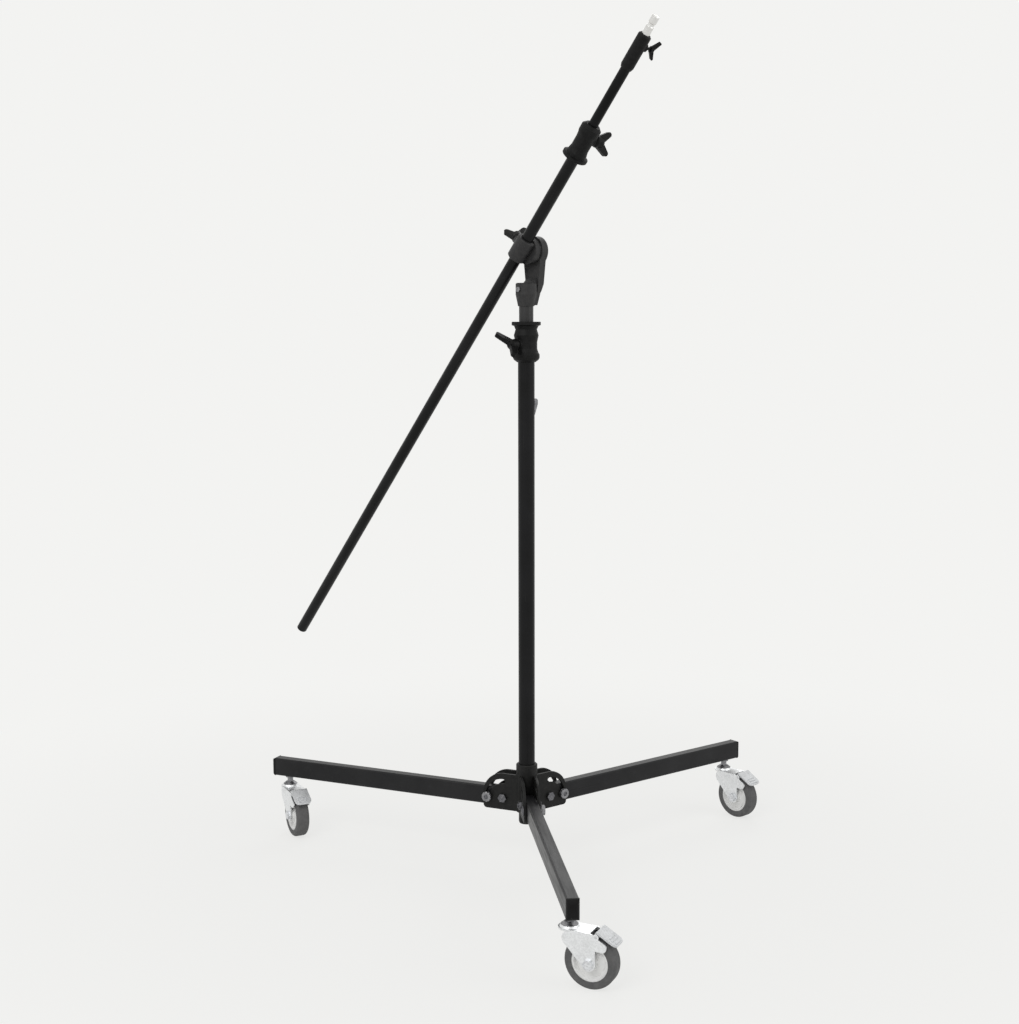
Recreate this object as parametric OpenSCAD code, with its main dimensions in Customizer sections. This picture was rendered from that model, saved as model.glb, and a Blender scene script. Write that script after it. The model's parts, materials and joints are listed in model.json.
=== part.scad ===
// Wheeled boom stand: a folding three-leg base on braked casters, a two-section column
// and a two-section boom that tilts and slides in a clamp on the column's head.
// Millimetres. The origin is on the floor in the middle of the stand's outline seen from above,
// Z is up and the front leg points along -Y.

/* [Mast and riser] */
// Outside diameter of the mast tube
mast_d = 35; // [34:0.5:40]
// Wall of the mast tube
mast_wall = 1.5; // [1.2:0.1:1.8]
// Height of the mast tube's lower end above the floor
mast_foot_z = 100; // [96:1:112]
// Height of the mast collar's top above the floor
mast_top_z = 1177; // [900:1:1400]
// Outside diameter of the riser tube
riser_d = 30; // [26:0.5:30.5]
// Wall of the riser tube
riser_wall = 1.5; // [1.2:0.1:2.5]
// Height of the riser's foot bush above the mast's foot plug
riser_clear = 57; // [47:1:600]
// Bare riser showing between the mast collar and the head
riser_show = 32; // [5:1:300]

/* [Mast collar] */
// Height of the mast collar
collar_h = 84; // [70:1:110]
// Radius of the collar's rim
collar_rim_r = 30.5; // [28:0.5:40]
// Radius of the collar's waist
collar_waist_r = 23; // [21:0.5:25]
// Radius of the collar's lower bead
collar_bead_r = 28; // [25:0.5:32]
// Way round the mast that the collar knob faces
collar_knob_az = -55; // [-180:1:180]

/* [Legs] */
// Width of a leg tube
leg_w = 25; // [22:1:34]
// Height of a leg tube
leg_h = 41; // [34:1:42]
// Wall of a leg tube
leg_wall = 2; // [1.5:0.1:3]
// Radius of a leg tube's corners
leg_corner = 4; // [2.5:0.5:8]
// Reach of a leg from the mast's axis to the tip of its end cap
leg_reach = 639; // [450:1:800]
// Height of the leg's centre line above the floor
leg_z = 150; // [149:0.5:160]
// Angle that a leg turns up to fold
leg_fold = 90; // [60:5:95]

/* [Hub] */
// Radius of the pivots' circle round the mast
pivot_r = 49; // [48:1:60]
// Radius of the arc in which the lock bolt runs
lock_arc = 36; // [32:1:38]
// Reach of a hub cheek beyond the leg's pivot
cheek_reach = 46; // [45:1:60]
// Height of a hub cheek above the leg's pivot
cheek_rise = 54; // [46:1:70]
// Thickness of a hub cheek
cheek_t = 5; // [4:0.5:8]
// Radius of the hub's sleeve
sleeve_r = 23; // [21.5:0.5:26]
// Height of the sleeve's top above the floor
sleeve_top_z = 228; // [218:1:280]
// Diameter of the leg pivot bolts and lock bolts
leg_bolt_d = 10; // [8:1:12]

/* [Casters] */
// Diameter of a wheel
wheel_d = 100; // [80:1:102]
// Width of a tyre
wheel_w = 28; // [24:1:30]
// Distance from the swivel's axis back to the wheel's axis
trail = 44; // [38:1:46]
// Distance from a leg's tip in to the caster's swivel axis
swivel_inset = 42; // [36:1:70]
// Diameter of the caster's threaded stem
stem_d = 13; // [10:1:14]
// Diameter of the wheel's axle
axle_d = 12; // [8:1:14]
// Way that the front, right and left casters trail
trail_az = [58, 36, 20];

/* [Head] */
// Way that the boom points, turned from the front leg
heading = 38.2; // [-180:0.1:180]
// Tilt of the boom above level
boom_tilt = 49.6; // [-60:0.1:60]
// Height of the tilt pivot above the socket's lower end
pivot_over_socket = 114; // [105:1:160]
// Depth of the socket
socket_h = 48; // [40:1:60]
// Outside radius of the socket
socket_r = 22; // [20:0.5:24]
// Distance of the boom's axis above the tilt pivot
boom_drop = 7; // [0:0.5:10]
// Distance of the boom's axis to the side of the mast's axis
boom_side = 8; // [0:0.5:12]
// Radius of the round ear at the tilt pivot
ear_r = 31; // [28:0.5:34]
// Thickness of the arm and its ear
arm_t = 17; // [14:1:24]
// Diameter of the tilt bolt
tilt_bolt_d = 10; // [8:1:12]

/* [Boom] */
// Outside diameter of the boom's outer tube
boom_d = 25; // [24:0.5:27]
// Wall of the boom's outer tube
boom_wall = 1.5; // [1.2:0.1:2]
// Length of boom from the clamp's centre down to its lower end
boom_tail = 1200; // [400:1:1400]
// Length of boom from the clamp's centre to the boom collar's upper end
boom_nose = 305; // [160:1:600]
// Outside diameter of the boom's inner tube
inner_d = 20; // [16:0.5:20.5]
// Wall of the boom's inner tube
inner_wall = 1.5; // [1.2:0.1:2.5]
// Length of the boom's inner tube
inner_l = 1000; // [400:1:1200]
// Length of inner tube showing between the boom collar and the tip fitting
inner_show = 129; // [10:1:600]
// Length of the boom clamp's sleeve
clamp_l = 50; // [40:1:70]
// Radius of the boom clamp's sleeve
clamp_r = 20; // [17:0.5:22]
// Length of the boom collar
boom_collar_l = 77; // [72:1:110]
// Radius of the boom collar's flange
boom_flange_r = 27; // [25:0.5:30]
// Radius of the bead at the boom collar's mouth
boom_bead_r = 21; // [20:0.5:21.5]

/* [Tip] */
// Length of the tip fitting
tip_l = 75; // [66:1:100]
// Radius of the tip fitting
tip_r = 13.5; // [13:0.5:17]
// Diameter of the spigot that takes a lamp head
spigot_d = 16; // [14:0.5:16.5]
// Free length of the spigot
spigot_l = 40; // [28:1:60]

/* [Wing knobs] */
// Span of the mast collar's wing knob
wing_span = 74; // [60:1:84]
// Height of the mast collar's wing knob
wing_h = 36; // [34:1:44]
// Span of the boom's wing knobs
boom_wing_span = 48; // [44:1:56]
// Height of the boom's wing knobs
boom_wing_h = 36; // [30:1:38]
// Thickness of the wings
wing_t = 9; // [6:0.5:11]
// Diameter of the knobs' screws
screw_d = 8; // [5:0.5:9]
// Span of the small wing knob on the tip
small_span = 38; // [32:1:50]

/* [Hidden] */
$fn = 72;

// Clearances: running fits, parts that only pass each other, and faces left apart
fit = 0.05;
gap = 0.5;
slack = 0.3;

// How far a straight side starts inside the disc that it joins
rim_bite = 0.06;

// Where the column stands in the outline seen from above
column_x = -14;
column_y = 20;

// Legs by name: way round the mast, and the way that each caster trails
FRONT = 0;
RIGHT = 120;
LEFT = -120;

// Mast and riser
mast_r = mast_d / 2;
mast_bore_r = mast_r - mast_wall;
riser_r = riser_d / 2;
rim_lip = 6;
mast_end_z = mast_top_z - rim_lip - 2;
collar_z = mast_top_z - collar_h;
collar_knob_rise = 37;
collar_knob_z = collar_z + collar_knob_rise;
collar_wing_turn = 52;
collar_boss_r = 11;
collar_boss_end = mast_r + 8;
lug_drop = 93;
guide_l = 26;
socket_z = mast_top_z + riser_show;
socket_depth = socket_h - 6;
riser_top_z = socket_z + socket_depth;
foot_plug_h = 18;
foot_bush_l = 24;
foot_bush_rim = 6;
riser_foot_z = mast_foot_z + foot_plug_h + riser_clear + foot_bush_rim;
riser_l = riser_top_z - riser_foot_z;

// Hub
web_t = 3;
cheek_foot = 8;
web_gap = 3;
web_bite = 2;
web_beyond = 26;
hub_z = leg_z - leg_h / 2 - web_gap - web_t;
cheek_in = leg_w / 2 + gap;
cheek_out = cheek_in + cheek_t;
leg_bolt_r = leg_bolt_d / 2;
slot_half = leg_bolt_r + gap;
head_h = 6;

// Legs and casters
cap_t = 10;
leg_tube_end = leg_reach - cap_t;
swivel_r = leg_reach - swivel_inset;
wheel_r = wheel_d / 2;
leg_under_z = leg_z - leg_h / 2;
stem_r = stem_d / 2;
crown_t = 3;
crown_z = wheel_d + 4;
cup_h = 4;
race_z = crown_z + crown_t + cup_h + gap;
race_r = 16;
axle_r = axle_d / 2;
fork_in = wheel_w / 2 + 3;
fork_t = 3;
tyre_depth = 15;
shoulder = 6;
pedal_x = trail + 14;
pedal_z = crown_z - 2;
pedal_w = 38;
pedal_slope = 30;
lug_t = 3;
pin_r = 2.5;

// Head
pivot_z = socket_z + pivot_over_socket;
washer_t = 3;
clamp_face = clamp_r + 2 - boom_side;
arm_y = clamp_face + washer_t;
arm_out = arm_y + arm_t;
tilt_bolt_r = tilt_bolt_d / 2;
disc_r = ear_r - 3;
tilt_stub_y = boom_d / 2 + 2 - boom_side;
tilt_nut_h = 8;
clamp_boss_end = clamp_r + 12;
clamp_knob_turn = 66;
clamp_wing_turn = 64;

// Boom, measured along it from the clamp's centre
boom_r = boom_d / 2;
boom_bore_r = boom_r - boom_wall;
inner_r = inner_d / 2;
boom_lip = 6;
boom_end_x = boom_nose - boom_lip;
boom_collar_x = boom_nose - boom_collar_l;
boom_knob_x = boom_collar_x + boom_collar_l / 2 + 7;
boom_knob_turn = -14;
boom_wing_turn = 147;
boom_waist_r = boom_r + 6;
boom_boss_end = boom_r + 9;
tip_x = boom_nose + inner_show;
tip_socket = 30;
inner_end_x = tip_x + tip_socket;
inner_foot_x = inner_end_x - inner_l;
tip_end_x = tip_x + tip_l;
tip_knob_back = 25;
tip_knob_x = tip_end_x - tip_knob_back;
tip_knob_out = tip_r + 13;
spigot_r = spigot_d / 2;

// Knobs
screw_r = screw_d / 2;
pad_t = 4;
small_h = 17;
small_screw_r = 3;

// Frames

// The column's frame: Z is the column's axis, from the floor up
module column_frame()
    translate([column_x, column_y, 0]) children();

// A leg's frame: X runs out along the leg, Z is up from the floor
module leg_frame(az)
    column_frame() rotate([0, 0, az - 90]) children();

// A leg's pivot frame: X out along the leg, Y up, Z across it
module pivot_frame(az)
    leg_frame(az) translate([pivot_r, 0, leg_z]) rotate([90, 0, 0]) children();

// A caster's frame: X points the way that the wheel trails
module caster_frame(az, way)
    leg_frame(az) translate([swivel_r, 0, 0]) rotate([0, 0, way - az]) children();

// The head's frame: the origin on the tilt pivot, X the boom's heading, Y along the pivot
module head_frame()
    column_frame() translate([0, 0, pivot_z]) rotate([0, 0, heading - 90]) children();

// The boom's frame: the origin in the clamp, X up along the boom, Y along the tilt pivot
module boom_frame()
    head_frame() rotate([0, -boom_tilt, 0]) translate([0, -boom_side, boom_drop]) children();

// Turns a shape that stands on XY to lie along +X, and along +Y
module along_x()
    rotate([0, 90, 0]) children();

module along_y()
    rotate([-90, 0, 0]) children();

// Shapes

// A tube that stands on XY
module tube(r_out, r_in, h)
    difference() {
        cylinder(r = r_out, h = h);
        translate([0, 0, -1]) cylinder(r = r_in, h = h + 2);
    }

// A rectangle with round corners, centred
module round_rect(w, h, r) {
    square([w - 2 * r, h], center = true);
    square([w, h - 2 * r], center = true);
    for (sx = [-1, 1], sy = [-1, 1])
        translate([sx * (w / 2 - r), sy * (h / 2 - r)]) circle(r);
}

// Two discs and the straight sides that join them, which start a hair inside the discs' rims
module link2d(p1, r1, p2, r2) {
    turn = atan2(p2[1] - p1[1], p2[0] - p1[0]);
    lean = acos((r1 - r2) / norm(p2 - p1));
    left = [cos(turn + lean), sin(turn + lean)];
    right = [cos(turn - lean), sin(turn - lean)];
    in1 = r1 - rim_bite;
    in2 = r2 - rim_bite;
    translate(p1) circle(r1);
    translate(p2) circle(r2);
    polygon([p1 + in1 * left, p2 + in2 * left, p2 + in2 * right, p1 + in1 * right]);
}

// Part of a ring about the origin with round ends, from one angle to another
module arc_slot(r, half, from, to) {
    reach = 2 * r;
    middle = (from + to) / 2;
    intersection() {
        difference() {
            circle(r + half);
            circle(r - half);
        }
        polygon([[0, 0], reach * [cos(from), sin(from)], reach * [cos(middle), sin(middle)],
            reach * [cos(to), sin(to)]]);
    }
    for (angle = [from, to])
        rotate(angle) translate([r, 0]) circle(half);
}

// A wing knob on +Z with its screw reaching back to -Z. The wings flare out along X.
module wing_knob(span, h, t, screw, reach) {
    tip = 0.15 * h;
    dip = 0.2 * h;
    half = span / 2 - tip;
    chord = half - tip;
    bow = (chord * chord + dip * dip) / (2 * dip);
    hub_r = t / 2 + 0.22 * h;
    root = 0.01 * h;
    rotate([90, 0, 0]) linear_extrude(t, center = true)
    difference() {
        for (side = [-1, 1])
            link2d([side * 2, 0.28 * h], 0.26 * h, [side * half, h - tip], tip);
        translate([0, h + bow - dip]) circle(bow);
    }
    rotate_extrude() polygon([[0, 0], [hub_r - 2, 0], [hub_r, 0.1 * h], [hub_r - 1.5, 0.46 * h],
        [hub_r - 4, 0.56 * h], [0, 0.56 * h]]);
    translate([0, 0, -reach]) cylinder(r = screw, h = reach + root);
}

// A hexagon bolt head or nut across flats, on XY
module hexagon(flats, h)
    cylinder(r = flats / sqrt(3), h = h, $fn = 6);

// Base

// The side of one hub cheek about the leg's pivot, with the slot in which the lock bolt runs
module cheek_outline() {
    low = hub_z - leg_z;
    lift = cheek_rise - cheek_reach;
    inner = sleeve_r - 11 - pivot_r;
    difference() {
        union() {
            translate([inner, low]) square([-inner, cheek_rise - low]);
            translate([0, low]) square([cheek_reach - cheek_foot, lift - low]);
            translate([0, low + cheek_foot]) square([cheek_reach, lift - low - cheek_foot]);
            translate([cheek_reach - cheek_foot, low + cheek_foot]) circle(cheek_foot);
            translate([0, lift]) intersection() {
                circle(cheek_reach);
                square(cheek_reach);
            }
        }
        circle(leg_bolt_r + fit);
        arc_slot(lock_arc, slot_half, 0, leg_fold);
    }
}

module hub()
    color([0.12, 0.12, 0.13])
    difference() {
        union() {
            column_frame() translate([0, 0, hub_z - 1.5]) cylinder(r = sleeve_r, h = sleeve_top_z - hub_z - 0.5);
            column_frame() translate([0, 0, sleeve_top_z - 2]) cylinder(r1 = sleeve_r, r2 = sleeve_r - 2, h = 2);
            for (az = [FRONT, RIGHT, LEFT]) {
                for (side = [-1, 1])
                    pivot_frame(az)
                        translate([0, 0, side * (cheek_in + cheek_t / 2)])
                        linear_extrude(cheek_t, center = true) cheek_outline();
                leg_frame(az)
                    translate([sleeve_r - web_bite, -cheek_in - 1, hub_z])
                    cube([pivot_r + web_beyond - sleeve_r + web_bite, 2 * cheek_in + 2, web_t]);
            }
        }
        column_frame() translate([0, 0, hub_z - 3]) cylinder(r = mast_r + fit, h = sleeve_top_z - hub_z + 5);
    }

// A leg's pivot frame, turned over where needed so that -Z is the side with the bolt heads
module near_frame(az)
    pivot_frame(az) mirror([0, 0, az == RIGHT ? 1 : 0]) children();

// Three pivot bolts, each with its nut on the other side of the cheeks
module leg_pivot_bolts()
    color([0.75, 0.76, 0.78])
    for (az = [FRONT, RIGHT, LEFT])
        near_frame(az) {
            translate([0, 0, -cheek_out]) cylinder(r = leg_bolt_r, h = 2 * cheek_out + head_h + 3);
            translate([0, 0, -cheek_out - head_h]) hexagon(1.7 * leg_bolt_d, head_h);
            translate([0, 0, cheek_out]) hexagon(1.7 * leg_bolt_d, head_h);
        }

// A leg: a rectangular tube with a round root, a crush tube for the pivot and a bolt hole
module leg(az)
    color([0.13, 0.13, 0.14])
    difference() {
        union() {
            intersection() {
                leg_frame(az) translate([0, 0, leg_z]) along_x() rotate([0, 0, 90])
                    linear_extrude(leg_tube_end)
                    difference() {
                        round_rect(leg_w, leg_h, leg_corner);
                        round_rect(leg_w - 2 * leg_wall, leg_h - 2 * leg_wall, leg_corner - leg_wall + 0.2);
                    }
                pivot_frame(az) linear_extrude(leg_w + 2, center = true) {
                    circle(leg_h / 2);
                    translate([0, -leg_h / 2 - 1]) square([leg_tube_end, leg_h + 2]);
                }
            }
            pivot_frame(az) cylinder(r = leg_bolt_r + 3, h = leg_w, center = true);
        }
        pivot_frame(az) cylinder(r = leg_bolt_r + fit, h = leg_w + 4, center = true);
        pivot_frame(az)
            translate([lock_arc, 0, 0]) cylinder(r = leg_bolt_r + fit, h = leg_w + 4, center = true);
        leg_frame(az) translate([swivel_r, 0, leg_under_z - 1])
            cylinder(r = stem_r + fit, h = leg_wall + 2);
    }

// The plug that closes a leg's end, rounded when seen from the side and from above
module leg_cap(az)
    color([0.05, 0.05, 0.05])
    leg_frame(az) translate([leg_tube_end, 0, leg_z]) {
        intersection() {
            rotate([90, 0, 0]) linear_extrude(leg_w, center = true)
                translate([cap_t - leg_h / 2, 0]) round_rect(leg_h, leg_h, cap_t + 1);
            linear_extrude(leg_h, center = true)
                translate([cap_t - leg_w / 2, 0]) round_rect(leg_w, leg_w, cap_t - 1);
            translate([0, -leg_w / 2, -leg_h / 2]) cube([cap_t + 1, leg_w, leg_h]);
        }
        translate([-14, 0, 0]) along_x() rotate([0, 0, 90]) linear_extrude(14)
            round_rect(leg_w - 2 * leg_wall - 0.4, leg_h - 2 * leg_wall - 0.4, leg_corner - leg_wall + 0.2);
    }

// The bolt that rides with the leg in the cheeks' slots, with a flat domed head
module leg_lock_bolt(az)
    color([0.75, 0.76, 0.78])
    near_frame(az) translate([lock_arc, 0, 0]) mirror([0, 0, 1]) {
        translate([0, 0, -cheek_out - gap]) cylinder(r = leg_bolt_r, h = 2 * cheek_out + 9);
        translate([0, 0, -cheek_out - gap - 2]) cylinder(r = leg_bolt_r + 5, h = 2);
        translate([0, 0, -cheek_out - gap - 4]) cylinder(r1 = leg_bolt_r, r2 = leg_bolt_r + 4.5, h = 2);
    }

// The fluted thumb nut that clamps the cheeks on the leg
module leg_lock_nut(az) {
    flutes = 10;
    nut_r = leg_bolt_r + 6;
    nut_h = 9;
    color([0.75, 0.76, 0.78])
    near_frame(az) translate([lock_arc, 0, 0]) mirror([0, 0, 1]) translate([0, 0, cheek_out + gap])
    difference() {
        union() {
            cylinder(r = nut_r - 3, h = 3);
            translate([0, 0, 2]) cylinder(r = nut_r, h = nut_h - 3);
            translate([0, 0, nut_h - 1]) cylinder(r1 = nut_r, r2 = nut_r - 1, h = 1);
        }
        translate([0, 0, -1]) cylinder(r = leg_bolt_r + fit, h = nut_h + 2);
        for (turn = [0 : flutes - 1])
            rotate([0, 0, turn * 360 / flutes]) translate([nut_r + 1, 0, -1]) cylinder(r = 2, h = nut_h + 2);
    }
}

// Casters

// The stem under a leg: collar, bearing cap and the head that holds the fork, with a nut inside
module caster_stem(az) {
    head_z = crown_z - gap - 4;
    color([0.3, 0.3, 0.31])
    leg_frame(az) translate([swivel_r, 0, 0]) {
        translate([0, 0, head_z]) cylinder(r = stem_r, h = leg_under_z + leg_wall + 12 - head_z);
        translate([0, 0, head_z]) cylinder(r = stem_r + 4, h = 4);
        translate([0, 0, race_z]) cylinder(r1 = race_r, r2 = stem_r + 3, h = 5);
        translate([0, 0, leg_under_z - 2.5]) cylinder(r = stem_r + 4, h = 2.5);
        translate([0, 0, leg_under_z + leg_wall]) hexagon(1.5 * stem_d, 8);
    }
}

// The side of the fork: a hood over the wheel's top and an arm down to the axle
module fork_side() {
    boss_r = axle_r + 7;
    link2d([8, crown_z - 12], 15, [trail, crown_z - 12], 15);
    link2d([trail, crown_z - 12], 15, [trail + 25, crown_z - 20], 9);
    link2d([9, crown_z - 14], 14, [trail, wheel_r], boss_r);
    link2d([trail - 2, crown_z - 14], 14, [trail, wheel_r], boss_r);
    polygon([[9, crown_z - 14], [trail, crown_z - 14], [trail, wheel_r]]);
    translate([pedal_x, pedal_z]) circle(pin_r + 3);
}

// The pressed fork: crown, race cup and the two sides
module caster_fork(az, way)
    color([0.8, 0.81, 0.83])
    caster_frame(az, way)
    difference() {
        union() {
            translate([0, 0, crown_z]) linear_extrude(crown_t) {
                circle(race_r + 5);
                translate([0, -fork_in - fork_t]) square([trail + 2, 2 * (fork_in + fork_t)]);
            }
            translate([0, 0, crown_z + crown_t]) cylinder(r1 = race_r + 2, r2 = race_r, h = cup_h);
            for (side = [-1, 1])
                translate([0, side * (fork_in + fork_t / 2), 0]) rotate([90, 0, 0])
                linear_extrude(fork_t, center = true) fork_side();
        }
        translate([0, 0, crown_z - 8]) cylinder(r = stem_r + fit, h = 30);
        translate([trail, 0, wheel_r]) rotate([90, 0, 0])
            cylinder(r = axle_r + 0.1, h = 4 * wheel_w, center = true);
        translate([pedal_x, 0, pedal_z]) rotate([90, 0, 0])
            cylinder(r = pin_r + fit, h = 4 * wheel_w, center = true);
    }

// The pale wheel centre: boss, dished web and rim
module wheel_core(az, way) {
    rim_r = wheel_r - tyre_depth;
    half = wheel_w / 2;
    color([0.85, 0.85, 0.84])
    caster_frame(az, way) translate([trail, 0, wheel_r]) rotate([90, 0, 0])
    rotate_extrude() polygon([
        [axle_r + fit, -half - 2], [axle_r + 7, -half - 2], [axle_r + 9, -half + 4],
        [rim_r - 8, -half + 7], [rim_r - 4, -half + 1], [rim_r, -half + 1],
        [rim_r, half - 1], [rim_r - 4, half - 1], [rim_r - 8, half - 7],
        [axle_r + 9, half - 4], [axle_r + 7, half + 2], [axle_r + fit, half + 2]
    ]);
}

// The grey tread, round at its shoulders
module tyre(az, way)
    color([0.42, 0.42, 0.43])
    caster_frame(az, way) translate([trail, 0, wheel_r]) rotate([90, 0, 0])
    rotate_extrude() {
        translate([wheel_r - tyre_depth, -wheel_w / 2]) square([tyre_depth - shoulder, wheel_w]);
        translate([wheel_r - tyre_depth, -wheel_w / 2 + shoulder])
            square([tyre_depth, wheel_w - 2 * shoulder]);
        for (side = [-1, 1])
            translate([wheel_r - shoulder, side * (wheel_w / 2 - shoulder)]) circle(shoulder);
    }

module axle(az, way) {
    out = fork_in + fork_t;
    color([0.7, 0.71, 0.73])
    caster_frame(az, way) translate([trail, 0, wheel_r]) rotate([90, 0, 0]) {
        cylinder(r = axle_r, h = 2 * out + 4, center = true);
        translate([0, 0, out]) hexagon(1.45 * axle_d, 5);
        mirror([0, 0, 1]) translate([0, 0, out]) hexagon(1.45 * axle_d, 5);
    }
}

// The brake pedal: a ribbed plate that slopes over the wheel, its pin, two lugs and the shoe
module brake_pedal(az, way) {
    under = 6;
    shoe_foot = 0.6;
    plate_h = 3.5;
    back = 4;
    reach = 40;
    color([0.62, 0.63, 0.65])
    caster_frame(az, way) translate([pedal_x, 0, pedal_z]) rotate([0, pedal_slope, 0]) {
        translate([0, 0, under]) linear_extrude(plate_h) {
            translate([-back, -pedal_w / 2]) square([back + reach - 10, pedal_w]);
            translate([0, -pedal_w / 2 + 10]) square([reach, pedal_w - 20]);
            for (side = [-1, 1])
                translate([reach - 10, side * (pedal_w / 2 - 10)]) circle(10);
        }
        for (rib = [1 : 3])
            translate([reach - 7 * rib, -pedal_w / 2 + 8, under + plate_h - 0.5])
            cube([3, pedal_w - 16, 2]);
        translate([12, -wheel_w / 2 + 4, -shoe_foot]) cube([12, wheel_w - 8, under + 1 + shoe_foot]);
        for (side = [-1, 1])
            translate([0, side * (fork_in - 0.6 - lug_t / 2), 0]) rotate([90, 0, 0])
            linear_extrude(lug_t, center = true) {
                circle(pin_r + 2.5);
                translate([-pin_r - 2.5, 0]) square([2 * pin_r + 5, under + 1]);
            }
        rotate([90, 0, 0]) cylinder(r = pin_r, h = 2 * (fork_in + fork_t), center = true);
    }
}

// Column

module mast_tube()
    color([0.06, 0.06, 0.06])
    difference() {
        column_frame() translate([0, 0, mast_foot_z]) tube(mast_r, mast_bore_r, mast_end_z - mast_foot_z);
        collar_screw_hole(screw_r + gap, mast_r + 4);
    }

module mast_foot_plug()
    color([0.03, 0.03, 0.03]) column_frame() {
        translate([0, 0, mast_foot_z - 4]) cylinder(r1 = mast_r - 1.5, r2 = mast_r, h = 4);
        translate([0, 0, mast_foot_z]) cylinder(r = mast_bore_r - 0.1, h = foot_plug_h);
    }

// The way that the collar's knob faces: Z out from the mast's axis
module collar_knob_frame()
    translate([0, 0, collar_knob_z]) leg_frame(collar_knob_az) along_x() children();

module collar_screw_hole(r, reach)
    collar_knob_frame() cylinder(r = r, h = reach);

// The cast collar at the mast's mouth: rim, tapered waist and bead, with the knob's boss
module mast_collar() {
    lip_r = riser_r + 0.25;
    h = collar_h;
    color([0.08, 0.08, 0.08])
    difference() {
        union() {
            column_frame() translate([0, 0, collar_z]) rotate_extrude() polygon([
                [0, 0], [mast_r + 2, 0], [collar_bead_r - 2, 5], [collar_bead_r, 9],
                [collar_bead_r, 16], [collar_bead_r - 3, 21], [collar_waist_r, 28],
                [collar_waist_r, 42], [collar_waist_r + 3, h - 28], [collar_rim_r - 8, h - 16],
                [collar_rim_r - 5, h - 9], [collar_rim_r, h - 7], [collar_rim_r, h - 1],
                [collar_rim_r - 1, h], [0, h]
            ]);
            collar_knob_frame() cylinder(r = collar_boss_r, h = collar_boss_end);
        }
        column_frame() translate([0, 0, collar_z - 1]) cylinder(r = mast_r + fit, h = h - rim_lip + 1);
        column_frame() translate([0, 0, collar_z - 1]) cylinder(r = lip_r, h = h + 2);
        collar_screw_hole(screw_r + fit, collar_boss_end + 1);
    }
}

module mast_collar_pad()
    color([0.85, 0.82, 0.7])
    collar_knob_frame() translate([0, 0, riser_r + slack]) cylinder(r = screw_r - 0.5, h = pad_t - 1);

module mast_collar_knob()
    color([0.03, 0.03, 0.03])
    collar_knob_frame() translate([0, 0, collar_boss_end + 1]) rotate([0, 0, collar_wing_turn])
    wing_knob(wing_span, wing_h, wing_t, screw_r, collar_boss_end + 1 - riser_r - pad_t);

// A small lug welded to the mast's right side
module mast_lug() {
    lug_h = 34;
    lug_z = collar_z - lug_drop;
    reach = 7;
    bevel = 3;
    weld = 0.3;
    color([0.35, 0.35, 0.36])
    translate([0, 0, lug_z]) leg_frame(83) translate([mast_r - weld, 0, 0])
    rotate([90, 0, 0]) linear_extrude(5, center = true)
    polygon([[0, -lug_h / 2], [reach - 2 * bevel, -lug_h / 2], [reach, lug_h / 4 - bevel],
        [reach, lug_h / 2 - bevel], [reach - bevel, lug_h / 2], [0, lug_h / 2]]);
}

// The thin guide that centres the riser in the mast's mouth
module riser_guide()
    color([0.8, 0.8, 0.78])
    column_frame() translate([0, 0, mast_end_z - guide_l]) difference() {
        union() {
            cylinder(r = mast_bore_r - fit, h = guide_l);
            translate([0, 0, guide_l]) cylinder(r = mast_r - 0.5, h = 1.5);
        }
        translate([0, 0, -1]) cylinder(r = riser_r + fit, h = guide_l + 4);
    }

module riser_tube()
    color([0.1, 0.1, 0.1])
    column_frame() translate([0, 0, riser_foot_z]) tube(riser_r, riser_r - riser_wall, riser_l);

module riser_foot_bush()
    color([0.8, 0.8, 0.78])
    column_frame() translate([0, 0, riser_foot_z - foot_bush_rim]) {
        cylinder(r = mast_bore_r - fit, h = foot_bush_rim);
        cylinder(r = riser_r - riser_wall - 0.1, h = foot_bush_l);
    }

// Head

// The cast arm: a socket on the riser, a neck that steps aside and a round ear at the top
module head_arm() {
    foot_drop = pivot_over_socket;
    neck_low = foot_drop - 36;
    bolt_z = 0.72 * socket_h;
    color([0.14, 0.14, 0.15])
    head_frame() translate([0, 0, -foot_drop])
    difference() {
        union() {
            rotate_extrude() polygon([[0, 0], [riser_r + 2, 0], [riser_r + 2.5, 2], [socket_r, socket_h / 2],
                [socket_r, socket_h - 2], [socket_r - 2, socket_h], [0, socket_h]]);
            intersection() {
                union() {
                    translate([0, arm_y, foot_drop]) rotate([-90, 0, 0]) linear_extrude(arm_t) {
                        circle(ear_r);
                        link2d([0, 0], ear_r - 5, [0, neck_low], 17);
                    }
                    translate([-15, 0, 2]) cube([30, arm_out, socket_h + 12]);
                }
                rotate([90, 0, 90]) linear_extrude(3 * ear_r, center = true)
                    polygon([[0, 2], [socket_r - 4, 2], [arm_out, socket_h - 2],
                        [arm_out, 2 * foot_drop], [arm_y, 2 * foot_drop], [arm_y, socket_h + 10],
                        [4, socket_h - 2], [0, socket_h - 2]]);
            }
        }
        translate([0, 0, -1]) cylinder(r = riser_r + fit, h = socket_depth + 1);
        translate([0, arm_y - 1, foot_drop]) along_y() cylinder(r = tilt_bolt_r + fit, h = arm_t + 2);
        translate([0, 0, bolt_z]) along_y() mirror([0, 0, 1]) cylinder(r = 3 + fit, h = socket_r + 5);
    }
}

module socket_bolt()
    color([0.5, 0.5, 0.52])
    head_frame() translate([0, -riser_r - slack, 0.72 * socket_h - pivot_over_socket])
    along_y() mirror([0, 0, 1]) {
        cylinder(r = 3, h = socket_r - riser_r + 1);
        translate([0, 0, socket_r - riser_r + 0.2]) hexagon(10, 3);
    }

module tilt_washer()
    color([0.25, 0.25, 0.26])
    head_frame() translate([0, clamp_face + 0.25, 0]) along_y()
    tube(ear_r - 4, tilt_bolt_r + fit, washer_t - 0.5);

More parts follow.
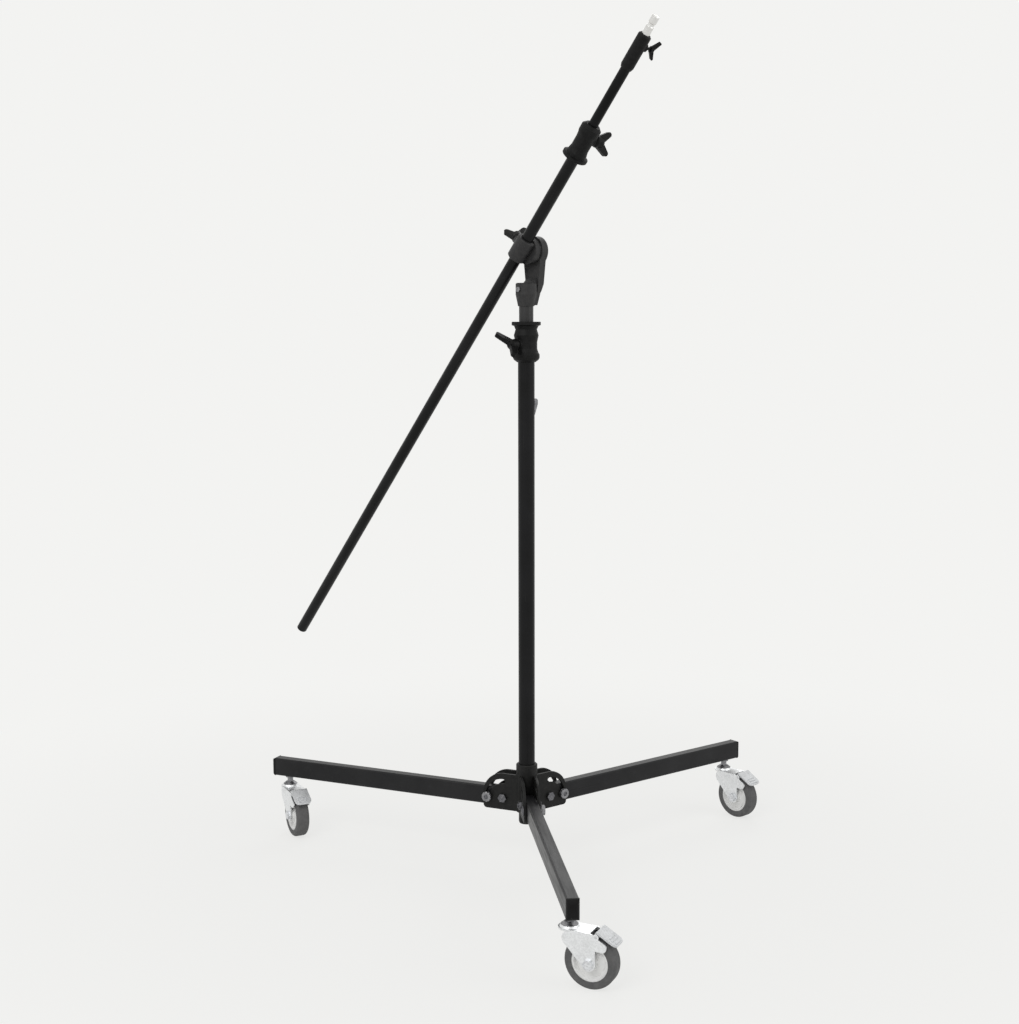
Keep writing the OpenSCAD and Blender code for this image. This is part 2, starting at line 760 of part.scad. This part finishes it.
// The stub bolt that ties the clamp to the arm
module tilt_bolt()
    color([0.7, 0.71, 0.73])
    head_frame() translate([0, tilt_stub_y, 0]) along_y()
    cylinder(r = tilt_bolt_r, h = arm_out + tilt_nut_h + 3 - tilt_stub_y);

module tilt_nut()
    color([0.7, 0.71, 0.73])
    head_frame() translate([0, arm_out + gap, 0]) along_y()
    difference() {
        union() {
            cylinder(r = tilt_bolt_d, h = 2);
            translate([0, 0, 1]) hexagon(1.6 * tilt_bolt_d, tilt_nut_h - 1);
        }
        translate([0, 0, -1]) cylinder(r = tilt_bolt_r + 0.1, h = tilt_nut_h + 2);
    }

// Boom clamp: a sleeve on the boom, a round face for the tilt washer and the knob's boss
module boom_clamp()
    color([0.12, 0.12, 0.13])
    boom_frame()
    difference() {
        union() {
            translate([-clamp_l / 2, 0, 0]) along_x() rotate_extrude() polygon([
                [0, 0], [clamp_r - 2, 0], [clamp_r, 2], [clamp_r, clamp_l - 2],
                [clamp_r - 2, clamp_l], [0, clamp_l]
            ]);
            translate([0, 9, -boom_drop]) along_y()
                cylinder(r = disc_r, h = clamp_face + boom_side - 9);
            clamp_screw_turn() cylinder(r = 11, h = clamp_boss_end);
        }
        translate([-clamp_l, 0, 0]) along_x() cylinder(r = boom_r + fit, h = 2 * clamp_l);
        translate([0, tilt_stub_y + boom_side - 0.5, -boom_drop]) along_y()
            cylinder(r = tilt_bolt_r + fit, h = clamp_l);
        clamp_screw_turn() cylinder(r = screw_r + fit, h = clamp_boss_end + 1);
    }

// Z along the clamp's screw, away from the boom's axis
module clamp_screw_turn()
    rotate([clamp_knob_turn, 0, 0]) along_y() children();

module clamp_knob_frame()
    boom_frame() clamp_screw_turn() children();

module boom_clamp_pad()
    color([0.85, 0.82, 0.7])
    clamp_knob_frame() translate([0, 0, boom_r + slack]) cylinder(r = screw_r - 0.5, h = pad_t - 1);

module boom_clamp_knob()
    color([0.03, 0.03, 0.03])
    clamp_knob_frame() translate([0, 0, clamp_boss_end + 1]) rotate([0, 0, clamp_wing_turn])
    wing_knob(boom_wing_span, boom_wing_h, wing_t, screw_r, clamp_boss_end + 1 - boom_r - pad_t);

// Boom

// A frame with Z along the screws that point away from the boom, X along the boom
module boom_screw_frame(x)
    boom_frame() translate([x, 0, 0]) rotate([boom_knob_turn, 0, 0]) along_y() children();

module boom_outer_tube()
    color([0.1, 0.1, 0.1])
    difference() {
        boom_frame() translate([-boom_tail + 3, 0, 0]) along_x()
            tube(boom_r, boom_bore_r, boom_tail - 3 + boom_end_x);
        boom_screw_frame(boom_knob_x) cylinder(r = screw_r + gap, h = boom_r + 5);
    }

module boom_end_cap()
    color([0.03, 0.03, 0.03])
    boom_frame() translate([-boom_tail, 0, 0]) along_x() {
        cylinder(r1 = boom_r - 1, r2 = boom_r, h = 1);
        translate([0, 0, 1]) cylinder(r = boom_r, h = 2);
        cylinder(r = boom_bore_r - 0.1, h = 22);
    }

// The cast collar at the outer tube's mouth: flange below, waist, and bead at the mouth
module boom_collar() {
    l = boom_collar_l;
    flange_r = boom_flange_r;
    bead_r = boom_bead_r;
    color([0.07, 0.07, 0.07])
    difference() {
        union() {
            boom_frame() translate([boom_collar_x, 0, 0]) along_x() rotate_extrude() polygon([
                [0, 0], [flange_r - 1, 0], [flange_r, 1], [flange_r, 6], [flange_r - 6, 8],
                [boom_waist_r + 2, 14], [boom_waist_r, 22], [boom_waist_r, l - 34],
                [bead_r - 1.5, l - 25], [bead_r, l - 20], [bead_r, l - 6], [bead_r - 6, l], [0, l]
            ]);
            boom_screw_frame(boom_knob_x) cylinder(r = 11, h = boom_boss_end);
        }
        boom_frame() translate([boom_collar_x - 1, 0, 0]) along_x() {
            cylinder(r = boom_r + fit, h = l - boom_lip + 1);
            cylinder(r = inner_r + 0.25, h = l + 2);
        }
        boom_screw_frame(boom_knob_x) cylinder(r = screw_r + fit, h = boom_boss_end + 1);
    }
}

module boom_collar_pad()
    color([0.85, 0.82, 0.7])
    boom_screw_frame(boom_knob_x) translate([0, 0, inner_r + slack])
    cylinder(r = screw_r - 0.5, h = pad_t - 1);

module boom_collar_knob()
    color([0.03, 0.03, 0.03])
    boom_screw_frame(boom_knob_x) translate([0, 0, boom_boss_end + 1]) rotate([0, 0, boom_wing_turn])
    wing_knob(boom_wing_span, boom_wing_h, wing_t, screw_r, boom_boss_end + 1 - inner_r - pad_t);

module boom_inner_tube()
    color([0.04, 0.04, 0.04])
    boom_frame() translate([inner_foot_x, 0, 0]) along_x()
    tube(inner_r, inner_r - inner_wall, inner_l);

module boom_inner_bush()
    color([0.8, 0.8, 0.78])
    boom_frame() translate([inner_foot_x - 5, 0, 0]) along_x() {
        cylinder(r = boom_bore_r - fit, h = 5);
        cylinder(r = inner_r - inner_wall - 0.1, h = 22);
    }

// Tip: a sleeve on the inner tube that holds the spigot with a small wing screw
module tip_fitting()
    color([0.06, 0.06, 0.06])
    difference() {
        union() {
            boom_frame() translate([tip_x, 0, 0]) along_x() rotate_extrude() polygon([
                [0, 0], [tip_r - 2, 0], [tip_r, 6], [tip_r, tip_l - 3], [tip_r - 3, tip_l], [0, tip_l]
            ]);
            boom_screw_frame(tip_knob_x) cylinder(r = 8, h = tip_r + 3);
        }
        boom_frame() translate([tip_x - 1, 0, 0]) along_x() cylinder(r = inner_r + fit, h = tip_socket + 1);
        boom_frame() translate([tip_x, 0, 0]) along_x() cylinder(r = spigot_r + fit, h = tip_l + 1);
        boom_screw_frame(tip_knob_x) cylinder(r = small_screw_r + fit, h = tip_r + 5);
    }

module tip_knob()
    color([0.03, 0.03, 0.03])
    boom_screw_frame(tip_knob_x) translate([0, 0, tip_knob_out])
    wing_knob(small_span, small_h, 6, small_screw_r, tip_knob_out - spigot_r - slack);

// The plated spigot, with a groove for a lamp head's lock screw
module tip_spigot() {
    seat = tip_l - tip_socket - 3;
    neck_r = spigot_r - 1.6;
    neck = spigot_l / 2 - 3;
    color([0.78, 0.78, 0.78])
    boom_frame() translate([tip_end_x, 0, 0]) along_x() rotate_extrude() polygon([
        [0, -seat], [spigot_r - 0.5, -seat], [spigot_r, -seat + 0.5], [spigot_r, neck],
        [neck_r, neck + 1.6], [neck_r, neck + 6], [spigot_r, neck + 7.6],
        [spigot_r, spigot_l - 1.5], [spigot_r - 1.5, spigot_l], [0, spigot_l]
    ]);
}

hub();
leg_pivot_bolts();
leg(FRONT);  // leg_front
leg_cap(FRONT);  // leg_cap_front
leg_lock_bolt(FRONT);  // leg_lock_bolt_front
leg_lock_nut(FRONT);  // leg_lock_nut_front
leg(RIGHT);  // leg_right
leg_cap(RIGHT);  // leg_cap_right
leg_lock_bolt(RIGHT);  // leg_lock_bolt_right
leg_lock_nut(RIGHT);  // leg_lock_nut_right
leg(LEFT);  // leg_left
leg_cap(LEFT);  // leg_cap_left
leg_lock_bolt(LEFT);  // leg_lock_bolt_left
leg_lock_nut(LEFT);  // leg_lock_nut_left
caster_stem(FRONT);  // caster_stem_front
caster_fork(FRONT, trail_az[0]);  // caster_fork_front
wheel_core(FRONT, trail_az[0]);  // wheel_core_front
tyre(FRONT, trail_az[0]);  // tyre_front
axle(FRONT, trail_az[0]);  // axle_front
brake_pedal(FRONT, trail_az[0]);  // brake_pedal_front
caster_stem(RIGHT);  // caster_stem_right
caster_fork(RIGHT, trail_az[1]);  // caster_fork_right
wheel_core(RIGHT, trail_az[1]);  // wheel_core_right
tyre(RIGHT, trail_az[1]);  // tyre_right
axle(RIGHT, trail_az[1]);  // axle_right
brake_pedal(RIGHT, trail_az[1]);  // brake_pedal_right
caster_stem(LEFT);  // caster_stem_left
caster_fork(LEFT, trail_az[2]);  // caster_fork_left
wheel_core(LEFT, trail_az[2]);  // wheel_core_left
tyre(LEFT, trail_az[2]);  // tyre_left
axle(LEFT, trail_az[2]);  // axle_left
brake_pedal(LEFT, trail_az[2]);  // brake_pedal_left
mast_tube();
mast_foot_plug();
mast_collar();
mast_collar_pad();
mast_collar_knob();
mast_lug();
riser_guide();
riser_tube();
riser_foot_bush();
head_arm();
socket_bolt();
tilt_washer();
tilt_bolt();
tilt_nut();
boom_clamp();
boom_clamp_pad();
boom_clamp_knob();
boom_outer_tube();
boom_end_cap();
boom_collar();
boom_collar_pad();
boom_collar_knob();
boom_inner_tube();
boom_inner_bush();
tip_fitting();
tip_knob();
tip_spigot();
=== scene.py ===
"""Looks for a wheeled boom stand: materials, light and camera.

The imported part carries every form. This file gives each piece its finish and sets a
plain pale studio. Metres, in the part's own frame: the floor is z = 0, Z is up and the
front leg points along -Y.
"""
import json
import math

import bpy
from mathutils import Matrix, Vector

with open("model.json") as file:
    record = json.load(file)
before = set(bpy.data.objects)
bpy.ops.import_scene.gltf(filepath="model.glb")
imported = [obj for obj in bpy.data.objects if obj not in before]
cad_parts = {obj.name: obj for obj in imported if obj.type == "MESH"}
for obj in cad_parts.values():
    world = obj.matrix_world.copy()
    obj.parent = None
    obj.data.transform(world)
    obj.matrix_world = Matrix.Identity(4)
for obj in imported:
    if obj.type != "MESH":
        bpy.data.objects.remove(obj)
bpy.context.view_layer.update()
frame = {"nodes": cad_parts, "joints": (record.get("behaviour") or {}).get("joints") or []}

# The backdrop's colour, as the photograph shows it
PALE = (0.896, 0.896, 0.882)
LEGS = ("front", "right", "left")
JOINTS = {joint["name"]: joint for joint in frame["joints"]}
BOOM = JOINTS["boom_slide"]["axis"]
UP = (0, 0, 1)
LEG_AXIS = {"front": (0, -1, 0), "right": (0.866, 0.5, 0), "left": (-0.866, 0.5, 0)}

# The foot of the column's axis, from which the camera's place is measured
COLUMN = Vector((*JOINTS["head_turn"]["pos_m"][:2], 0.0))

# Dark and light ends of each black finish
TUBE_BLACK = ((0.004, 0.004, 0.004), (0.010, 0.010, 0.011))
INNER_BLACK = ((0.003, 0.003, 0.003), (0.008, 0.008, 0.009))
RISER_BLACK = ((0.014, 0.014, 0.015), (0.030, 0.029, 0.029))
LEG_BLACK = ((0.010, 0.010, 0.011), (0.020, 0.020, 0.021))
HUB_BLACK = ((0.008, 0.008, 0.008), (0.018, 0.018, 0.017))
HEAD_BLACK = ((0.020, 0.020, 0.021), (0.038, 0.037, 0.036))
COLLAR_BLACK = ((0.005, 0.005, 0.005), (0.012, 0.012, 0.012))
KNOB_BLACK = ((0.003, 0.003, 0.003), (0.008, 0.008, 0.008))

# What shows where paint or plating is worn
RUBBED_PAINT = (0.12, 0.117, 0.114)
HANDLED_NICKEL = (0.45, 0.44, 0.42)
DUSTY_RUBBER = (0.24, 0.235, 0.225)


# Node helpers

class Shader:
    """A Principled material and short ways to wire its nodes."""

    def __init__(self, name):
        self.mat = bpy.data.materials.new(name)
        self.mat.use_nodes = True
        self.tree = self.mat.node_tree
        self.bsdf = self.tree.nodes["Principled BSDF"]

    def node(self, kind, **values):
        made = self.tree.nodes.new(kind)
        for key, value in values.items():
            setattr(made, key, value)
        return made

    def link(self, out, into):
        self.tree.links.new(out, into)

    def place(self, stretch=(1, 1, 1), axis=None):
        """Object coordinates, turned so that axis lies along Z, then stretched."""
        vector = self.node("ShaderNodeTexCoord").outputs["Object"]
        if axis is not None:
            turn = self.node("ShaderNodeMapping")
            to_z = Vector(axis).rotation_difference(Vector((0, 0, 1)))
            turn.inputs["Rotation"].default_value = to_z.to_euler()
            self.link(vector, turn.inputs["Vector"])
            vector = turn.outputs["Vector"]
        if tuple(stretch) != (1, 1, 1):
            scaled = self.node("ShaderNodeMapping")
            scaled.inputs["Scale"].default_value = stretch
            self.link(vector, scaled.inputs["Vector"])
            vector = scaled.outputs["Vector"]
        return vector

    def noise(self, vector, scale, detail=4.0, roughness=0.55):
        made = self.node("ShaderNodeTexNoise")
        made.inputs["Scale"].default_value = scale
        made.inputs["Detail"].default_value = detail
        made.inputs["Roughness"].default_value = roughness
        self.link(vector, made.inputs["Vector"])
        return made.outputs["Fac"]

    def cells(self, vector, scale):
        made = self.node("ShaderNodeTexVoronoi")
        made.inputs["Scale"].default_value = scale
        self.link(vector, made.inputs["Vector"])
        return made.outputs["Color"]

    def span(self, value, low, high, to_low=0.0, to_high=1.0):
        """Maps low..high to to_low..to_high and holds it there."""
        made = self.node("ShaderNodeMapRange", clamp=True)
        ends = (("From Min", low), ("From Max", high), ("To Min", to_low), ("To Max", to_high))
        for key, number in ends:
            made.inputs[key].default_value = number
        self.link(value, made.inputs["Value"])
        return made.outputs["Result"]

    def times(self, a, b):
        made = self.node("ShaderNodeMath", operation="MULTIPLY")
        for socket, value in zip(made.inputs, (a, b)):
            if isinstance(value, (int, float)):
                socket.default_value = value
            else:
                self.link(value, socket)
        return made.outputs["Value"]

    def blend(self, factor, a, b):
        """A colour that goes from a to b with factor. Each is a colour or a socket."""
        made = self.node("ShaderNodeMix", data_type="RGBA")
        self.link(factor, made.inputs["Factor"])
        for socket, value in ((made.inputs[6], a), (made.inputs[7], b)):
            if isinstance(value, tuple):
                socket.default_value = (*value, 1.0)
            else:
                self.link(value, socket)
        return made.outputs[2]

    def bump(self, height, strength, depth, normal=None):
        made = self.node("ShaderNodeBump")
        made.inputs["Strength"].default_value = strength
        made.inputs["Distance"].default_value = depth
        self.link(height, made.inputs["Height"])
        if normal is not None:
            self.link(normal, made.inputs["Normal"])
        return made.outputs["Normal"]

    def round_edges(self, radius):
        made = self.node("ShaderNodeBevel", samples=4)
        made.inputs["Radius"].default_value = radius
        return made.outputs["Normal"]

    def finish(self, colour, roughness, normal, metallic=0.0, **sockets):
        self.link(colour, self.bsdf.inputs["Base Color"])
        self.link(roughness, self.bsdf.inputs["Roughness"])
        self.link(normal, self.bsdf.inputs["Normal"])
        self.bsdf.inputs["Metallic"].default_value = metallic
        for key, value in sockets.items():
            self.bsdf.inputs[key.replace("_", " ")].default_value = value
        return self.mat


# Materials

def tube_paint(name, axis, dark, light, rubbed, sheen):
    """Satin black paint on a drawn tube, with hairline scratches along it where pieces slide."""
    s = Shader(name)
    cloud = s.noise(s.place(), 9.0, 3.0)
    long_marks = s.noise(s.place((160, 160, 1.6), axis), 3.0, 6.0, 0.7)
    rub = s.times(s.span(long_marks, 0.60, 0.72), s.span(s.noise(s.place(), 24.0, 5.0), 0.48, 0.66))
    rub = s.times(rub, rubbed)
    dust = s.span(s.noise(s.place(), 55.0, 8.0, 0.65), 0.55, 0.8, 0.0, 0.35)
    colour = s.blend(s.span(cloud, 0.35, 0.7), dark, light)
    colour = s.blend(dust, colour, tuple(1.6 * c for c in light))
    colour = s.blend(rub, colour, RUBBED_PAINT)
    rough = s.span(s.noise(s.place((40, 40, 3), axis), 4.0, 5.0), 0.3, 0.7, 0.27, 0.43)
    peel = s.noise(s.place(), 420.0, 2.0)
    normal = s.bump(peel, 0.12, 0.0003, s.round_edges(0.0006))
    normal = s.bump(long_marks, 0.10, 0.0002, normal)
    return s.finish(colour, rough, normal, Specular_IOR_Level=sheen)


def cast_paint(name, dark, light, sheen):
    """Fine textured powder coat on castings, with lighter worn patches scattered at random, such as
    hands and bolts leave.
    """
    s = Shader(name)
    grain = s.noise(s.place(), 1500.0, 3.0, 0.6)
    lumps = s.noise(s.place(), 130.0, 4.0)
    wear = s.span(s.noise(s.place(), 60.0, 9.0, 0.72), 0.62, 0.74, 0.0, 0.55)
    colour = s.blend(s.span(lumps, 0.35, 0.7), dark, light)
    colour = s.blend(wear, colour, tuple(2.2 * c for c in light))
    rough = s.span(lumps, 0.3, 0.7, 0.42, 0.6)
    normal = s.bump(grain, 0.35, 0.0004, s.round_edges(0.0012))
    normal = s.bump(lumps, 0.15, 0.0008, normal)
    return s.finish(colour, rough, normal, Specular_IOR_Level=sheen)


def moulded_plastic(name, dark, light, scuff, rough_low, rough_high, sheen):
    """Moulded plastic with a fine spark grain and rubbed patches."""
    s = Shader(name)
    grain = s.noise(s.place(), 2200.0, 2.0)
    patches = s.noise(s.place(), 34.0, 6.0, 0.6)
    scuffs = s.span(s.noise(s.place((220, 60, 60)), 1.4, 7.0, 0.7), 0.62, 0.75, 0.0, 0.5)
    colour = s.blend(s.span(patches, 0.35, 0.7), dark, light)
    colour = s.blend(scuffs, colour, scuff)
    rough = s.span(patches, 0.3, 0.7, rough_low, rough_high)
    normal = s.bump(grain, 0.22, 0.0002, s.round_edges(0.0010))
    return s.finish(colour, rough, normal, Specular_IOR_Level=sheen)


def bright_zinc(name, dark, light, rough_low, rough_high):
    """Zinc plate: small crystals of slightly different brightness, with dull stains."""
    s = Shader(name)
    crystal = s.node("ShaderNodeSeparateColor")
    s.link(s.cells(s.place(), 420.0), crystal.inputs["Color"])
    stain = s.span(s.noise(s.place(), 42.0, 7.0, 0.65), 0.5, 0.75, 0.0, 0.35)
    colour = s.blend(crystal.outputs["Red"], dark, light)
    colour = s.blend(stain, colour, tuple(0.62 * c for c in dark))
    rough = s.span(s.noise(s.place(), 90.0, 5.0), 0.3, 0.7, rough_low, rough_high)
    hair = s.noise(s.place((30, 500, 500)), 2.0, 4.0, 0.6)
    normal = s.bump(hair, 0.10, 0.0002, s.round_edges(0.0007))
    return s.finish(colour, rough, normal, metallic=1.0)


def turned_steel(name, axis):
    """Nickel plate on a turned pin: fine rings round the axis and a few handling marks."""
    s = Shader(name)
    rings = s.noise(s.place((2, 2, 1600), axis), 1.0, 4.0, 0.6)
    marks = s.span(s.noise(s.place(), 160.0, 8.0, 0.7), 0.58, 0.72, 0.0, 0.5)
    colour = s.blend(s.span(rings, 0.3, 0.7), (0.66, 0.65, 0.63), (0.80, 0.80, 0.79))
    colour = s.blend(marks, colour, HANDLED_NICKEL)
    rough = s.span(rings, 0.3, 0.7, 0.18, 0.34)
    return s.finish(colour, rough, s.bump(rings, 0.2, 0.0002, s.round_edges(0.0005)), metallic=1.0)


def grey_rubber(name):
    """Grey rubber tread: dusty, matt, with picked-up dirt and tiny pits."""
    s = Shader(name)
    pits = s.noise(s.place(), 900.0, 4.0, 0.7)
    dirt = s.noise(s.place(), 70.0, 7.0, 0.65)
    colour = s.blend(s.span(dirt, 0.3, 0.7), (0.085, 0.085, 0.087), (0.145, 0.144, 0.143))
    colour = s.blend(s.span(pits, 0.55, 0.8, 0.0, 0.5), colour, DUSTY_RUBBER)
    rough = s.span(dirt, 0.3, 0.7, 0.62, 0.85)
    normal = s.bump(pits, 0.4, 0.0004, s.round_edges(0.0015))
    return s.finish(colour, rough, normal, Specular_IOR_Level=0.35)


mast_paint = tube_paint("mast_paint", UP, *TUBE_BLACK, rubbed=0.25, sheen=0.16)
riser_paint = tube_paint("riser_paint", UP, *RISER_BLACK, rubbed=0.8, sheen=0.35)
boom_paint = tube_paint("boom_paint", BOOM, *TUBE_BLACK, rubbed=0.5, sheen=0.16)
inner_paint = tube_paint("inner_paint", BOOM, *INNER_BLACK, rubbed=0.7, sheen=0.12)
leg_paints = {
    leg: tube_paint("leg_paint_" + leg, LEG_AXIS[leg], *LEG_BLACK, rubbed=0.3, sheen=0.22)
    for leg in LEGS
}
hub_paint = cast_paint("hub_paint", *HUB_BLACK, sheen=0.2)
head_paint = cast_paint("head_paint", *HEAD_BLACK, sheen=0.3)
collar_paint = cast_paint("collar_paint", *COLLAR_BLACK, sheen=0.14)
black_plastic = moulded_plastic(
    "black_plastic", *KNOB_BLACK, scuff=(0.03, 0.029, 0.028),
    rough_low=0.34, rough_high=0.52, sheen=0.14)
pale_plastic = moulded_plastic(
    "pale_plastic", (0.80, 0.80, 0.79), (0.88, 0.88, 0.87), scuff=(0.56, 0.55, 0.53),
    rough_low=0.38, rough_high=0.55, sheen=0.45)
nylon = moulded_plastic(
    "nylon", (0.70, 0.67, 0.58), (0.80, 0.78, 0.70), scuff=(0.5, 0.47, 0.4),
    rough_low=0.4, rough_high=0.6, sheen=0.45)
zinc = bright_zinc("zinc", (0.60, 0.61, 0.63), (0.84, 0.85, 0.87), 0.24, 0.42)
fork_zinc = bright_zinc("fork_zinc", (0.78, 0.79, 0.80), (0.90, 0.91, 0.92), 0.32, 0.50)
pedal_zinc = bright_zinc("pedal_zinc", (0.60, 0.61, 0.62), (0.72, 0.73, 0.75), 0.36, 0.54)
dull_steel = bright_zinc("dull_steel", (0.20, 0.20, 0.21), (0.34, 0.34, 0.35), 0.34, 0.5)
bolt_steel = bright_zinc("bolt_steel", (0.10, 0.10, 0.11), (0.22, 0.22, 0.23), 0.38, 0.55)
spigot_steel = turned_steel("spigot_steel", BOOM)
tread = grey_rubber("tread")

FINISH = {
    "hub": hub_paint, "leg_pivot_bolts": bolt_steel,
    "mast_tube": mast_paint, "mast_foot_plug": black_plastic,
    "mast_collar": collar_paint, "mast_collar_pad": nylon, "mast_collar_knob": black_plastic,
    "mast_lug": dull_steel, "riser_guide": nylon, "riser_tube": riser_paint, "riser_foot_bush": nylon,
    "head_arm": head_paint, "socket_bolt": dull_steel, "tilt_washer": dull_steel, "tilt_bolt": zinc,
    "tilt_nut": dull_steel, "boom_clamp": head_paint, "boom_clamp_pad": nylon,
    "boom_clamp_knob": black_plastic, "boom_outer_tube": boom_paint, "boom_end_cap": black_plastic,
    "boom_collar": collar_paint, "boom_collar_pad": nylon, "boom_collar_knob": black_plastic,
    "boom_inner_tube": inner_paint, "boom_inner_bush": nylon, "tip_fitting": collar_paint,
    "tip_knob": black_plastic, "tip_spigot": spigot_steel,
}
for leg in LEGS:
    FINISH.update({
        "leg_" + leg: leg_paints[leg], "leg_cap_" + leg: black_plastic,
        "leg_lock_bolt_" + leg: bolt_steel, "leg_lock_nut_" + leg: dull_steel,
        "caster_stem_" + leg: dull_steel, "caster_fork_" + leg: fork_zinc,
        "brake_pedal_" + leg: pedal_zinc, "axle_" + leg: zinc,
        "wheel_core_" + leg: pale_plastic, "tyre_" + leg: tread,
    })
for name, obj in frame["nodes"].items():
    for slot in obj.material_slots:
        slot.material = FINISH[name]


# Studio

def seen_ray(tree):
    """1 for camera, glossy and transmitted rays, which see the pale backdrop, and 0 for the rest."""
    path = tree.nodes.new("ShaderNodeLightPath")
    seen = path.outputs["Is Camera Ray"]
    for other in ("Is Glossy Ray", "Is Transmission Ray"):
        most = tree.nodes.new("ShaderNodeMath")
        most.operation = "MAXIMUM"
        tree.links.new(seen, most.inputs[0])
        tree.links.new(path.outputs[other], most.inputs[1])
        seen = most.outputs["Value"]
    return seen


def pale_floor(size, near, away, near_glow):
    """A pale floor that keeps part of its shading near the stand and is plain backdrop away from it."""
    mesh = bpy.data.meshes.new("studio_floor")
    corners = [(-size, -size, 0), (size, -size, 0), (size, size, 0), (-size, size, 0)]
    mesh.from_pydata(corners, [], [(0, 1, 2, 3)])
    floor = bpy.data.objects.new("studio_floor", mesh)
    bpy.context.scene.collection.objects.link(floor)
    mat = bpy.data.materials.new("studio_floor")
    mat.use_nodes = True
    tree = mat.node_tree
    tree.nodes.clear()
    out = tree.nodes.new("ShaderNodeOutputMaterial")
    matt = tree.nodes.new("ShaderNodeBsdfDiffuse")
    matt.inputs["Color"].default_value = (*PALE, 1)
    glow = tree.nodes.new("ShaderNodeEmission")
    glow.inputs["Color"].default_value = (*PALE, 1)
    # Near the stand the floor keeps part of its own shading, and so the stand's shadow
    where = tree.nodes.new("ShaderNodeNewGeometry")
    far = tree.nodes.new("ShaderNodeVectorMath")
    far.operation = "LENGTH"
    tree.links.new(where.outputs["Position"], far.inputs[0])
    fade = tree.nodes.new("ShaderNodeMapRange")
    fade.interpolation_type = "SMOOTHSTEP"
    for key, number in (("From Min", near), ("From Max", away), ("To Min", near_glow), ("To Max", 1.0)):
        fade.inputs[key].default_value = number
    tree.links.new(far.outputs["Value"], fade.inputs["Value"])
    part = tree.nodes.new("ShaderNodeMath")
    part.operation = "MULTIPLY"
    tree.links.new(seen_ray(tree), part.inputs[0])
    tree.links.new(fade.outputs["Result"], part.inputs[1])
    mix = tree.nodes.new("ShaderNodeMixShader")
    tree.links.new(part.outputs["Value"], mix.inputs["Fac"])
    tree.links.new(matt.outputs["BSDF"], mix.inputs[1])
    tree.links.new(glow.outputs["Emission"], mix.inputs[2])
    tree.links.new(mix.outputs["Shader"], out.inputs["Surface"])
    mesh.materials.append(mat)


def pale_world(ambient):
    """Even light of the given strength, seen by the camera and in reflections as the backdrop."""
    world = bpy.data.worlds.new("studio")
    bpy.context.scene.world = world
    world.use_nodes = True
    tree = world.node_tree
    tree.nodes.clear()
    out = tree.nodes.new("ShaderNodeOutputWorld")
    light = tree.nodes.new("ShaderNodeBackground")
    light.inputs["Color"].default_value = (1.0, 1.0, 1.0, 1)
    light.inputs["Strength"].default_value = ambient
    seen = tree.nodes.new("ShaderNodeBackground")
    seen.inputs["Color"].default_value = (*PALE, 1)
    mix = tree.nodes.new("ShaderNodeMixShader")
    tree.links.new(seen_ray(tree), mix.inputs["Fac"])
    tree.links.new(light.outputs["Background"], mix.inputs[1])
    tree.links.new(seen.outputs["Background"], mix.inputs[2])
    tree.links.new(mix.outputs["Shader"], out.inputs["Surface"])


def softbox(name, place, aim, size, watts):
    """A square lamp that faces the point aim."""
    data = bpy.data.lights.new(name, "AREA")
    data.shape = "SQUARE"
    data.size = size
    data.energy = watts
    lamp = bpy.data.objects.new(name, data)
    lamp.location = place
    lamp.rotation_euler = (Vector(aim) - Vector(place)).to_track_quat("-Z", "Y").to_euler()
    bpy.context.scene.collection.objects.link(lamp)


pale_floor(size=60.0, near=0.5, away=1.9, near_glow=0.8)
pale_world(ambient=0.5)
softbox("key", place=(-2.4, -2.8, 3.4), aim=(0, 0, 0.7), size=2.4, watts=62)
softbox("fill", place=(3.2, -1.8, 2.2), aim=(0, 0, 0.8), size=2.2, watts=24)
softbox("back", place=(1.2, 3.2, 3.0), aim=(0, 0, 0.9), size=2.0, watts=24)

# The camera's place, turn in degrees and lens were fitted to the photograph
CAMERA_PLACE = Vector((-0.4059, -3.1495, 1.1804))
CAMERA_TURN = (82.754, 0.152, -6.714)
lens = bpy.data.cameras.new("camera")
lens.sensor_width = 36.0
lens.lens = 53.061
lens.clip_end = 200.0
camera = bpy.data.objects.new("camera", lens)
camera.location = COLUMN + CAMERA_PLACE
camera.rotation_euler = [math.radians(turn) for turn in CAMERA_TURN]
bpy.context.scene.collection.objects.link(camera)
bpy.context.scene.camera = camera
bpy.context.scene.view_settings.view_transform = "Standard"
